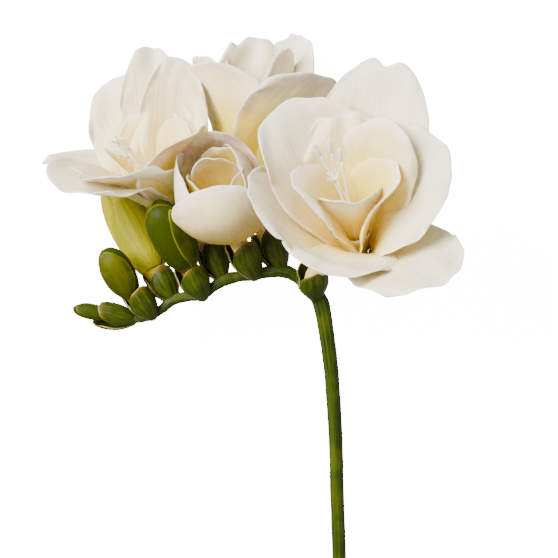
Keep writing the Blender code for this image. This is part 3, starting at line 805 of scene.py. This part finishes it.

# Open blooms: throat, the way it faces, length and end radius of the funnel, stamen tips, style
# tip and petals
# Some petals are given painted shade, a darker peach, where they face away from the light
blooms = {
    "1": dict(
        throat=(19.3, 8.6, 16.0), faces=(-0.14, 0.64, 0.75), funnel=(5.0, 3.6),
        stamens=[(9.6, 29.6, 35.5), (12.4, 30.2, 37.5), (14.8, 28.2, 38.5)],
        style=(13.4, 23.0, 37.0),
        petals=[
            petal(67, 46.5, 29.5, 26, 61, cup=11, lean=6, twist=6, notch=0.05, wave=0.8, waves=1.6,
                  gold=0.2, pink=0.2),
            petal(20, 34.5, 33, 9, 86, cup=18, lean=-20, twist=25, wave=1.0, phase=1.0, gold=0.4,
                  claw=0.6),
            petal(-51, 35.5, 27, 52, 78, cup=4, root=-1.8, lean=10, twist=-8, wave=1.2, waves=1.5,
                  phase=2.0, gold=0.4, claw=0.7, frill=0.9),
            petal(-108, 26, 29.5, 32, 66, cup=20, twist=-9, wave=0.8, gold=0.45, deep=0.8, rim=1.2,
                  claw=0.45),
            petal(-14, 13, 13, 44, 66, cup=24, root=-2.0, gold=1.4, deep=0.5, claw=0.8),
            petal(181, 34.5, 26, 36, 42, cup=2, twist=3, wave=0.8, phase=0.6, gold=0.55, deep=0.7,
                  claw=0.45),
            petal(126, 40, 31.5, 15, 62, cup=35, lean=2, wave=0.8, root=-0.5, ring=2.2, gold=0.45,
                  claw=0.4),
            petal(88, 33, 27, 10, 56, cup=26, lean=2, root=0.0, ring=1.6, wave=1.2, waves=2.6,
                  gold=0.8, deep=0.75, crinkle=1.0, frill=1.7, claw=0.4, ragged=0.1, rim=0.8),
            petal(46, 33.5, 23.5, 18, 36, cup=14, twist=13, root=0.0, ring=1.6, roll=20, gold=0.85,
                  deep=0.8, rim=1.2, claw=0.45),
            petal(11, 28, 22, 2, 48, cup=62, root=-1.0, ring=1.4, gold=1.1, deep=0.9, rim=1.8,
                  claw=0.55),
            petal(-80, 28, 21, -4, 30, cup=62, twist=-5, root=-1.5, ring=1.6, gold=0.65, deep=0.8,
                  rim=1.2, claw=0.5),
            petal(181, 28.5, 19.5, 10, 32, cup=39, lean=-6, root=0.5, ring=1.4, gold=0.75, deep=0.7,
                  rim=1.8, claw=0.45),
        ],
    ),
    "2": dict(
        throat=(-8.6, 26.5, -8.5), faces=(0.12, 0.96, -0.25), funnel=(13.0, 6.2),
        stamens=[(-8.6, 46.0, -10.6), (-4.6, 46.4, -12.6), (-6.6, 45.6, -15.4)],
        style=(-6.2, 48.6, -13.0),
        petals=[
            petal(-139, 31, 30, 17, 55, cup=44, claw=0.62, twist=-8, wave=0.6, gold=0.65, deep=1.0,
                  dusk=0.2),
            petal(-41, 32.5, 30, 27, 67, cup=18, claw=0.6, ring=4.2, bow=1.5, lean=-3, wave=0.6,
                  gold=0.65, deep=1.0, pink=0.45, rim=0.3, dusk=0.35),
            petal(-10, 36, 20, 7, 12, cup=24, lean=-4, twist=-6, wave=0.8, gold=0.4),
            petal(46, 43.5, 25, 14, 8, cup=16, twist=2, wave=0.9, gold=0.3, crinkle=0.9, frill=1.8,
                  ragged=0.1),
            petal(99, 40, 24.5, 8, 1, cup=22, wave=0.9, gold=0.3, crinkle=0.9, frill=1.8,
                  ragged=0.1),
            petal(199, 33, 24.5, 16, 36, cup=26, twist=3, wave=0.8, gold=0.6),
            petal(60, 32, 20, 8, 20, cup=38, root=0.0, ring=1.5, wave=0.8, crinkle=0.7),
            petal(150, 32, 20, 8, 20, cup=38, root=0.0, ring=1.5, wave=0.8, crinkle=0.7),
            petal(72, 37, 21, 16, 30, cup=12, root=0.0, ring=1.6, wave=1.2, crinkle=1.0, frill=2.2,
                  ragged=0.13),
            petal(22, 33, 19, 20, 34, cup=14, root=0.0, ring=1.6, wave=1.2, crinkle=1.0, frill=2.2,
                  ragged=0.13),
            petal(125, 35, 19, 14, 26, cup=14, root=0.0, ring=1.6, wave=1.2, crinkle=1.0, frill=2.2,
                  ragged=0.13),
        ],
    ),
    "3": dict(
        throat=(-11.2, 12.3, 3.0), faces=(-0.22, 0.7, 0.68), funnel=(5.0, 6.0),
        stamens=[(-14.6, 17.8, 8.6), (-12.4, 18.8, 7.8), (-13.6, 17.0, 9.8)],
        style=(-13.2, 18.6, 10.2),
        petals=[
            petal(-88, 29.5, 33, 66, -38, cup=66, ring=2.2, gold=0.7, deep=0.6, pink=0.2,
                  dusk=0.95),
            petal(22, 28, 29, 56, -40, cup=60, ring=1.8, gold=0.5, pink=0.3, dusk=0.45),
            petal(178, 31, 29, 95, -32, cup=66, bow=0.55, ring=1.9, gold=0.3, pink=0.5, dusk=0.1),
            petal(95, 30, 27, 50, -22, cup=62, ring=1.8, gold=0.6, deep=0.8, pink=0.9),
            petal(-150, 24, 16, 40, -14, cup=60, root=-0.5, ring=1.4, gold=2.2, deep=1.0, claw=0.15,
                  frill=1.0),
            petal(70, 25, 20, 40, -16, cup=60, root=-0.5, ring=1.4, gold=1.6, deep=1.0, claw=0.15,
                  frill=1.0),
            petal(-25, 24, 20, 42, -14, cup=60, root=-0.5, ring=1.4, gold=2.0, deep=1.0, claw=0.15,
                  frill=1.0),
            petal(97, 27, 17, 30, -40, cup=50, root=-0.5, ring=1.0, gold=0.75, deep=0.9, frill=1.0,
                  rim=0.6),
        ],
    ),
    "4": dict(
        throat=(-25.2, 16.8, -4.0), faces=(-0.5, 0.85, 0.15), funnel=(11.0, 5.2),
        stamens=[(-39.4, 31.0, 2.0), (-37.4, 32.6, 2.6), (-37.6, 30.4, 4.4)],
        style=(-39.6, 33.4, 5.0),
        petals=[
            petal(90, 41, 24, 8, 35, cup=22, lean=-2, wave=0.8, gold=0.62, deep=0.8),
            petal(58, 44.5, 20, 16, 30, cup=36, lean=-26, turn=25, twist=35, wave=1.0, gold=0.5,
                  rim=1.2, frill=1.0),
            petal(30, 40, 19.5, 14, 44, cup=44, lean=-10, turn=45, twist=40, wave=1.0, gold=0.6,
                  rim=1.4, frill=1.0),
            petal(24, 25, 21, 8, 34, cup=24, turn=55, twist=10, root=0.0, ring=1.4, gold=0.9,
                  deep=0.8, rim=1.4, frill=1.0),
            petal(-54, 31, 24.5, 24, 87, cup=25, bow=1.3, wave=0.6, gold=0.8, deep=0.75, pink=0.9,
                  dusk=0.35),
            petal(-119, 32, 25.5, 14, 80, cup=17, lean=3, twist=-27, wave=0.8, gold=0.6, pink=0.4),
            petal(164, 38.5, 22, 8, 67, cup=12, wave=0.8, gold=0.5),
            petal(-152, 36.5, 25, 11, 77, cup=5, lean=10, twist=-44, wave=0.8, gold=0.4, pink=0.2),
            petal(55, 28, 21.5, 5, 38, cup=30, lean=5, turn=20, twist=11, root=0.0, ring=1.4,
                  gold=1.2, deep=0.85),
            petal(150, 25, 18, 6, 30, cup=45, root=0.0, ring=1.4, gold=1.2, deep=0.85),
            petal(90, 36, 26, 21, 66, cup=10, wave=0.8, gold=0.3),
        ],
    ),
}
tubeRadius = 1.9
throatRadius = 2.7
tubeThickness = 0.4
tubeSides = 36
funnelSteps = (0.12, 0.25, 0.4, 0.55, 0.7, 0.85, 1.0)
funnelFlare = 1.4
petalThickness = 0.36
petalRows = 26
wideColumns, narrowColumns, wideFrom = 20, 16, 22
filamentRadius = 0.3
filamentSteps = 14
stamenRing = 1.8
antherFrom = 0.76
grooveDepth = 0.1
# Anther: distance past the end of the filament, and radius
anther = [(-0.3, 0.3), (0.3, 0.42), (1.2, 0.5), (2.4, 0.48), (3.2, 0.38), (3.8, 0.18)]


# An anther has a groove down each of two sides
def antherRelief(share, turn):
    return -grooveDepth * math.cos(turn * 4 * math.pi) if share > antherFrom else 0.0


def buildStamens(key, data, spot):
    start = spot["origin"] + spot["axis"] * (data["funnel"][0] - 2)
    pieces = []
    for i, tip in enumerate(data["stamens"]):
        foot = start + spoke(spot, 120 * i + 30) * stamenRing
        tip = Vector(tip)
        way = (tip - foot).normalized()
        filament = hermite(foot, spot["axis"], tip, way, filamentSteps)
        line = [(*place, filamentRadius) for place in filament]
        line += [(*(tip + way * reach), radius) for reach, radius in anther]
        pieces.append(makeTube("stamen", line, 20, relief=antherRelief))
    tip = Vector(data["style"])
    head = makeSpot(tip, tip - start)
    style = hermite(start, spot["axis"], tip, head["axis"], filamentSteps)
    pieces.append(makeTube("style", [(*p, filamentRadius) for p in style], 16))
    for degrees in (0, 120, 240):
        out = spoke(head, degrees)
        around = head["axis"].cross(out)
        for bend in (-0.5, 0.5):
            end = tip + head["axis"] * 3.0 + out * 1.5 + around * bend
            branch = hermite(tip - head["axis"] * 0.4, head["axis"], end, out + head["axis"], 8)
            line = [(*p, 0.26 - 0.012 * k) for k, p in enumerate(branch)]
            pieces.append(makeTube("branch", line, 12))
    dress(joinPieces("stamens" + key, pieces), stamenMaterial, "bloom_" + key)


def buildBloom(key, data):
    spot = makeSpot(data["throat"], data["faces"])
    reach, wide = data["funnel"]
    tube = footLine(nodes[key], spot["origin"], spot["axis"], tubeRadius, throatRadius, 16)
    rim = []
    for t in funnelSteps:
        place = spot["origin"] + spot["axis"] * reach * t
        rim.append((*place, throatRadius + (wide - throatRadius) * t**funnelFlare))

    # The funnel's last mark, 0.1, is a little painted shade
    def tubeMarks(u, v):
        return 3.0, 0.0, 0.45 + 0.3 * v, 0.1

    funnel = makeTube("tube", tube + rim, tubeSides, tubeMarks, close=False)
    pieces = [thicken(funnel, tubeThickness, 0)]
    for i, blade in enumerate(data["petals"]):

        def marks(u, v):
            return blade["gold"], blade["pink"], blade["deep"], blade["dusk"]

        seed = int(key) * 11.3 + i * 1.7
        columns = wideColumns if blade["width"] > wideFrom else narrowColumns
        sheet = makeBlade("petal", spot, blade, seed, petalThickness, columns, petalRows, marks)
        pieces.append(sheet)
    dress(joinPieces("bloomPiece" + key, pieces), petalMaterial, "bloom_" + key)
    buildStamens(key, data, spot)
    print("bloom", key)


for key, data in blooms.items():
    buildBloom(key, data)

# The hidden solids carry the same finishes
finishes = dict(bloom=petalMaterial, bracts=bractMaterial, bud=budMaterial, stalk=stalkMaterial)
for name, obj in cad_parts.items():
    obj.data.materials.clear()
    obj.data.materials.append(finishes[name.split("_")[0]])

# Table and lights. The table glows for the camera alone, so it lights nothing. Lamps: place,
# power and size.
tableLook = dict(white=(0.8, 0.8, 0.8, 1), roughness=0.9, soft=0.0, depth=0.001, specular=0.0)
stageSettings = dict(
    tableSize=3,
    tableHeight=-0.0002,
    glow=14.0,
    world=0.6,
    warm=(1.0, 0.97, 0.9),
    aim=(0, 0.06, 0.02),
    lamps=dict(
        key=((-0.62, 0.45, 0.68), 42.0, 0.7),
        fill=((0.7, -0.2, 0.7), 2.5, 0.8),
    ),
)
# The camera looks straight down: its height over the flower axis and the width that it sees, in mm
cameraSettings = dict(height=750.0, width=139.5, sensor=36.0, clipEnd=10)


def buildStage(settings):
    place = (0, 0, settings["tableHeight"])
    bpy.ops.mesh.primitive_plane_add(size=settings["tableSize"], location=place)
    table = bpy.context.object
    table.name = "table"
    maker = Maker("tableTop")
    table.data.materials.append(maker.finish(tableLook["white"], tableLook))
    maker.shader.inputs["Emission Color"].default_value = (1, 1, 1, 1)
    maker.shader.inputs["Emission Strength"].default_value = settings["glow"]
    table.visible_diffuse = table.visible_glossy = table.visible_transmission = False
    world = bpy.context.scene.world or bpy.data.worlds.new("world")
    bpy.context.scene.world = world
    world.use_nodes = True
    background = world.node_tree.nodes["Background"]
    background.inputs["Color"].default_value = (*settings["warm"], 1)
    background.inputs["Strength"].default_value = settings["world"]
    for name, (place, power, size) in settings["lamps"].items():
        lamp = bpy.data.lights.new(name, "AREA")
        lamp.energy = power
        lamp.size = size
        lamp.color = settings["warm"]
        obj = bpy.data.objects.new(name, lamp)
        bpy.context.scene.collection.objects.link(obj)
        obj.location = place
        view = Vector(settings["aim"]) - Vector(place)
        obj.rotation_euler = view.to_track_quat("-Z", "Y").to_euler()


def buildCamera(settings):
    camera = bpy.data.cameras.new("camera")
    camera.sensor_width = settings["sensor"]
    camera.lens = settings["sensor"] / settings["width"] * settings["height"]
    camera.clip_end = settings["clipEnd"]
    camera.dof.use_dof = False
    obj = bpy.data.objects.new("camera", camera)
    bpy.context.scene.collection.objects.link(obj)
    obj.location = toPart((0, 0, settings["height"]))
    bpy.context.scene.camera = obj


buildStage(stageSettings)
buildCamera(cameraSettings)
print("stage ready")
